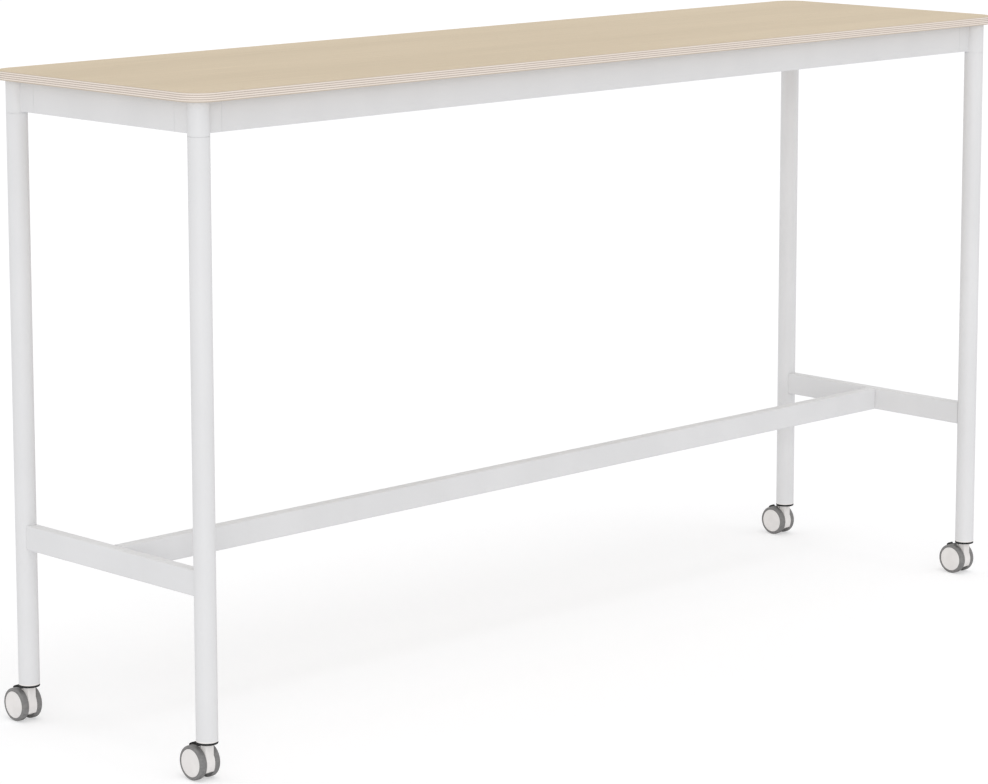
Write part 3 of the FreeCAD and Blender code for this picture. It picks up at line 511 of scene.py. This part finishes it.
# %% [markdown]
# ## Picking and copying in code
# By hand one clicks the faces and edges to work on. In a script they are picked by their place
# or direction instead, which still works when a size changes. A solid that came from outside is
# made of loose triangles, so a copy of it is first merged into whole faces. A finished piece is
# kept with its object at the origin and its place in its mesh, so a copy is moved in its mesh.

# %% Helpers for modelling
SHARP_ANGLE = radians(35)
SAME_POINT = 0.000002
SAME_PLANE_ANGLE = radians(0.5)


@contextmanager
def editing(piece):
    """Opens one piece alone in edit mode."""
    bpy.ops.object.select_all(action="DESELECT")
    piece.select_set(True)
    bpy.context.view_layer.objects.active = piece
    bpy.ops.object.mode_set(mode="EDIT")
    yield
    bpy.ops.object.mode_set(mode="OBJECT")


def pick(kind, wanted):
    """Selects the faces or the edges of the piece in edit mode that pass a test."""
    bpy.ops.mesh.select_mode(type=kind)
    bpy.ops.mesh.select_all(action="DESELECT")
    mesh = bpy.context.object.data
    shape = bmesh.from_edit_mesh(mesh)
    for element in shape.faces if kind == "FACE" else shape.edges:
        if wanted(element):
            element.select_set(True)
    bmesh.update_edit_mesh(mesh)


def is_sharp(edge):
    return edge.is_manifold and edge.calc_face_angle() > SHARP_ANGLE


def middle(edge):
    return (edge.verts[0].co + edge.verts[1].co) / 2


def new_piece(name, mesh):
    piece = bpy.data.objects.new(name, mesh)
    bpy.context.collection.objects.link(piece)
    return piece


def merged_copy(node, name):
    """A piece with a solid's mesh, its loose triangles joined into whole faces."""
    piece = new_piece(name, frame["nodes"][node].data.copy())
    with editing(piece):
        bpy.ops.mesh.select_all(action="SELECT")
        bpy.ops.mesh.remove_doubles(threshold=SAME_POINT)
        bpy.ops.mesh.dissolve_limited(angle_limit=SAME_PLANE_ANGLE)
    return piece


def copy_to(piece, name, move):
    """A copy with its own mesh, moved or turned in its mesh by a matrix."""
    twin = new_piece(name, piece.data.copy())
    twin.data.transform(move)
    return twin


def smooth(piece):
    """Shades a piece smooth, apart from its sharp edges."""
    bpy.ops.object.select_all(action="DESELECT")
    piece.select_set(True)
    bpy.context.view_layer.objects.active = piece
    bpy.ops.object.shade_smooth_by_angle(angle=SHARP_ANGLE)


def fit(piece, body, slot, *nodes):
    """Gives a finished piece its body and its finish, and hides the solids that it stands for."""
    piece.data.materials.clear()
    piece.data.materials.append(FINISHES[slot])
    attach(piece, body)
    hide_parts(*nodes)


print("modelling helpers ready")

# %% [markdown]
# ## Castor hoods
# The pale body between a castor's wheels is an injection moulding, and a mould leaves no edge
# sharp. Its shape is already right in the solid, so it isn't drawn again: a merged copy gets a
# bevel on its outer edges. The bores for the pins stay sharp, because they are drilled in the
# mould by steel pins and because a bevel there would only cost faces. One hood is made and the
# other three are copies.

# %% Round the hoods
CORNERS = ("front_left", "back_left", "front_right", "back_right")
HOOD_ROUNDING = 0.0008
SAME_PLANE = 0.00005
CLEAR_OF_AXLE_BORE = 0.006


def castor_shift(corner):
    """The way from the first castor to the one at a corner."""
    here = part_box(f"{corner}_castor_hood")[0]
    return Matrix.Translation(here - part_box(f"{CORNERS[0]}_castor_hood")[0])


hood = merged_copy(f"{CORNERS[0]}_castor_hood", "first_hood")
hood_low, hood_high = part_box(f"{CORNERS[0]}_castor_hood")
axle_low, axle_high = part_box(f"{CORNERS[0]}_castor_axle")
axle = (axle_low + axle_high) / 2
pedal_low, pedal_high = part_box(f"{CORNERS[0]}_brake_pedal")


def from_axle(point):
    """The distance between a point and the line along the first castor's axle."""
    return Vector((point.y - axle.y, point.z - axle.z)).length


def on_hood_outline(edge):
    """A sharp edge on either flat side of the hood, away from its bores."""
    place = middle(edge)
    beside = min(place.x - hood_low.x, hood_high.x - place.x) < SAME_PLANE
    return is_sharp(edge) and beside and from_axle(place) > CLEAR_OF_AXLE_BORE


with editing(hood):
    pick("EDGE", on_hood_outline)
    bpy.ops.mesh.bevel(offset=HOOD_ROUNDING, segments=3, affect="EDGES", clamp_overlap=True)
smooth(hood)
for corner in CORNERS:
    copy = copy_to(hood, f"{corner}_moulded_hood", castor_shift(corner))
    fit(copy, f"{corner}_castor_swivel", "pale_plastic", f"{corner}_castor_hood")
bpy.data.objects.remove(hood)
print("four hoods with", round(HOOD_ROUNDING * 1000, 1), "mm roundings")

# %% [markdown]
# ## Brake pedals
# The pedal is a black moulding too, and its foot plate has low ribs so that a shoe doesn't slip.
# The ribs are thin round bars, with about two thirds of their thickness sunk in the plate. They
# are added to a copy of the solid after its edges are rounded, because a bevel would eat them.

# %% Round the pedals and rib them
PEDAL_ROUNDING = 0.0005
CLEAR_OF_BARREL = 0.006
RIB_RADIUS = 0.0006
RIB_CENTRE_DEPTH_SHARE = 0.3
RIB_ROUNDED_SHARE = 0.4
RIB_LENGTH_SHARE = 0.85
RIB_DEGREES = (51.5, 54.5, 57.5, 60.5)

pedal = merged_copy(f"{CORNERS[0]}_brake_pedal", "first_pedal")
pedal_width = pedal_high.x - pedal_low.x
plate_radius = max(from_axle(vertex.co) for vertex in pedal.data.vertices)
rib_distance = plate_radius - RIB_RADIUS * RIB_CENTRE_DEPTH_SHARE
with editing(pedal):
    pick("EDGE", lambda edge: is_sharp(edge) and middle(edge).y > axle.y + CLEAR_OF_BARREL)
    bpy.ops.mesh.bevel(offset=PEDAL_ROUNDING, segments=3, affect="EDGES", clamp_overlap=True)
ribs = []
for angle in map(radians, RIB_DEGREES):
    bpy.ops.mesh.primitive_cylinder_add(
        vertices=16,
        radius=RIB_RADIUS,
        depth=pedal_width * RIB_LENGTH_SHARE,
        location=axle + Vector((0.0, cos(angle), sin(angle))) * rib_distance,
        rotation=(0.0, radians(90), 0.0),
    )
    rib = bpy.context.object
    with editing(rib):
        pick("EDGE", is_sharp)
        bpy.ops.mesh.bevel(offset=RIB_RADIUS * RIB_ROUNDED_SHARE, segments=2, affect="EDGES")
    ribs.append(rib)
bpy.ops.object.select_all(action="DESELECT")
for piece in ribs + [pedal]:
    piece.select_set(True)
bpy.context.view_layer.objects.active = pedal
bpy.ops.object.join()
smooth(pedal)
for corner in CORNERS:
    copy = copy_to(pedal, f"{corner}_ribbed_pedal", castor_shift(corner))
    fit(copy, f"{corner}_brake_pedal", "black_plastic", f"{corner}_brake_pedal")
bpy.data.objects.remove(pedal)
print("four pedals with", len(RIB_DEGREES), "ribs each")

# %% [markdown]
# ## Splitting a group of screws
# The identical screws came as one group, so their places are read by splitting a merged copy of
# the group into its loose solids and boxing each. The box also tells a screw's axis, which is its
# long side, and its head, which is the lower end of an upright screw and the end nearer the middle
# of the table of a level one.

# %% Find the solids in a group
def boxes_in(node):
    """The lowest and highest corners of the separate solids in one node."""
    group = merged_copy(node, "group_to_split")
    with editing(group):
        bpy.ops.mesh.select_all(action="SELECT")
        bpy.ops.mesh.separate(type="LOOSE")
    boxes = []
    for loose in list(bpy.context.selected_objects):
        points = [vertex.co for vertex in loose.data.vertices]
        low = Vector([min(point[i] for point in points) for i in range(3)])
        high = Vector([max(point[i] for point in points) for i in range(3)])
        boxes.append((low, high))
        bpy.data.objects.remove(loose)
    return boxes


def screw_stand(low, high):
    """Where a screw's head ends and which way the screw points: outward, or up under the top."""
    size = high - low
    axis = max(range(3), key=lambda i: size[i])
    centre = (low + high) / 2
    outward = 1.0 if axis == 2 or centre[axis] > 0 else -1.0
    start = centre.copy()
    start[axis] = low[axis] if outward > 0 else high[axis]
    direction = Vector([outward if i == axis else 0.0 for i in range(3)])
    turn = direction.to_track_quat("Z", "Y").to_matrix().to_4x4()
    return Matrix.Translation(start) @ turn, size[axis]


print(len(boxes_in("rail_screws")), "rail screws found")

# %% [markdown]
# ## Pan-head screws
# Three kinds of screw hold the rails and the top, and all have the same head: flat below, domed
# above, with a cross for the driver. A screw is turned metal, so it starts as a cylinder for the
# head. The head's outer rim is bevelled into the dome, the shank is drawn out of its other side
# with an inset and an extrude, and the cross is cut by two small blocks. One screw is modelled
# for each kind, because they differ in length, and its copies are turned into place.

# %% Model and place the screws
HEAD_HEIGHT = 0.0024
SHANK_RADIUS = 0.0020
DOME = 0.0013
CROSS_BLADE = (0.0044, 0.0009, 0.0030)


def cut_away(piece, tool):
    """Cuts one piece with another and throws the cutting piece away."""
    bpy.ops.object.select_all(action="DESELECT")
    piece.select_set(True)
    bpy.context.view_layer.objects.active = piece
    cut = piece.modifiers.new("cut", "BOOLEAN")
    cut.operation = "DIFFERENCE"
    cut.object = tool
    bpy.ops.object.modifier_apply(modifier=cut.name)
    bpy.data.objects.remove(tool)


def pan_head_screw(name, head_radius, length):
    """A screw along Z, from its domed head at z = 0 to its shank's end at the given length."""
    bpy.ops.object.select_all(action="DESELECT")
    bpy.ops.mesh.primitive_cylinder_add(
        vertices=32, radius=head_radius, depth=HEAD_HEIGHT, location=(0.0, 0.0, HEAD_HEIGHT / 2)
    )
    bpy.ops.object.transform_apply(location=True, rotation=True, scale=True)
    piece = bpy.context.object
    piece.name = name
    with editing(piece):
        pick("EDGE", lambda edge: is_sharp(edge) and middle(edge).z < HEAD_HEIGHT / 2)
        bpy.ops.mesh.bevel(offset=DOME, segments=5, affect="EDGES")
        pick("FACE", lambda face: face.normal.z > 0.9)
        bpy.ops.mesh.inset(thickness=head_radius - SHANK_RADIUS)
        bpy.ops.mesh.extrude_region_move(
            TRANSFORM_OT_translate={"value": (0.0, 0.0, length - HEAD_HEIGHT)}
        )
    for degrees in (0, 90):
        bpy.ops.mesh.primitive_cube_add(size=1.0, location=(0.0, 0.0, 0.0))
        blade = bpy.context.object
        blade.scale = CROSS_BLADE
        blade.rotation_euler = (0.0, 0.0, radians(degrees))
        bpy.ops.object.transform_apply(location=True, rotation=True, scale=True)
        cut_away(piece, blade)
    smooth(piece)
    return piece


for node in ("rail_screws", "bracket_screws", "top_screws"):
    boxes = boxes_in(node)
    sizes = sorted(boxes[0][1] - boxes[0][0])
    first = pan_head_screw(f"first_of_{node}", sizes[0] / 2, sizes[2])
    for number, (low, high) in enumerate(boxes, 1):
        stand, length = screw_stand(low, high)
        copy = copy_to(first, f"{node}_{number}", stand)
        fit(copy, "frame", "zinc_steel", node)
    bpy.data.objects.remove(first)
    print(len(boxes), node, round(sizes[2] * 1000, 1), "mm long")

# %% [markdown]
# ## Swivel rings
# Under each leg a black ring closes the gap to the castor. It shows as a thin dark line, and its
# edge is softly rounded, which is what keeps the line from looking cut out of paper. A cylinder's
# two caps are inset and bridged into the hole for the pin, and the two outer rims are bevelled.

# %% Turn the rings
RING_ROUNDING = 0.0007
PIN_CLEARANCE = 0.00005
pin_low, pin_high = boxes_in("castor_stems")[0]
pin_hole = (pin_high.x - pin_low.x) / 2 + PIN_CLEARANCE
ring_low, ring_high = boxes_in("swivel_rings")[0]
ring_radius = (ring_high.x - ring_low.x) / 2

bpy.ops.object.select_all(action="DESELECT")
bpy.ops.mesh.primitive_cylinder_add(vertices=96, radius=ring_radius, depth=ring_high.z - ring_low.z)
ring = bpy.context.object
with editing(ring):
    pick("FACE", lambda face: abs(face.normal.z) > 0.9)
    bpy.ops.mesh.inset(thickness=ring_radius - pin_hole)
    bpy.ops.mesh.delete(type="ONLY_FACE")
    pick("EDGE", lambda edge: edge.is_boundary)
    bpy.ops.mesh.bridge_edge_loops()
    pick("EDGE", lambda edge: is_sharp(edge) and middle(edge).xy.length > ring_radius * 0.9)
    bpy.ops.mesh.bevel(offset=RING_ROUNDING, segments=3, affect="EDGES")
    bpy.ops.mesh.select_all(action="SELECT")
    bpy.ops.mesh.normals_make_consistent(inside=False)
smooth(ring)
for number, (low, high) in enumerate(boxes_in("swivel_rings"), 1):
    copy = copy_to(ring, f"swivel_ring_{number}", Matrix.Translation((low + high) / 2))
    fit(copy, "frame", "black_plastic", "swivel_rings")
bpy.data.objects.remove(ring)
print("four rings,", round(ring_radius * 2000, 1), "mm across")

# %% [markdown]
# ## Angle brackets
# The brackets that carry the top are pressed from strip, with rounded corners and a soft bend.
# Their plates are thin, so the corners are the sharp edges that are just one thickness long. They
# get a large rounding first, and the long edges a small one after it.

# %% Round the brackets
PLATE_THICKNESS = 0.0025
SAME_LENGTH = 0.00002
CORNER_ROUNDING = 0.0035
EDGE_ROUNDING = 0.0003
SHORTEST_ROUNDED = 0.0008


def is_plate_corner(edge):
    """A sharp edge straight through a plate's thickness."""
    return is_sharp(edge) and abs(edge.calc_length() - PLATE_THICKNESS) < SAME_LENGTH


brackets = merged_copy("top_brackets", "pressed_brackets")
with editing(brackets):
    pick("EDGE", is_plate_corner)
    bpy.ops.mesh.bevel(offset=CORNER_ROUNDING, segments=5, affect="EDGES")
    pick("EDGE", lambda edge: is_sharp(edge) and edge.calc_length() > SHORTEST_ROUNDED)
    bpy.ops.mesh.bevel(offset=EDGE_ROUNDING, segments=2, affect="EDGES")
smooth(brackets)
fit(brackets, "frame", "zinc_steel", "top_brackets")
print("eight brackets in one piece,", len(brackets.data.polygons), "faces")
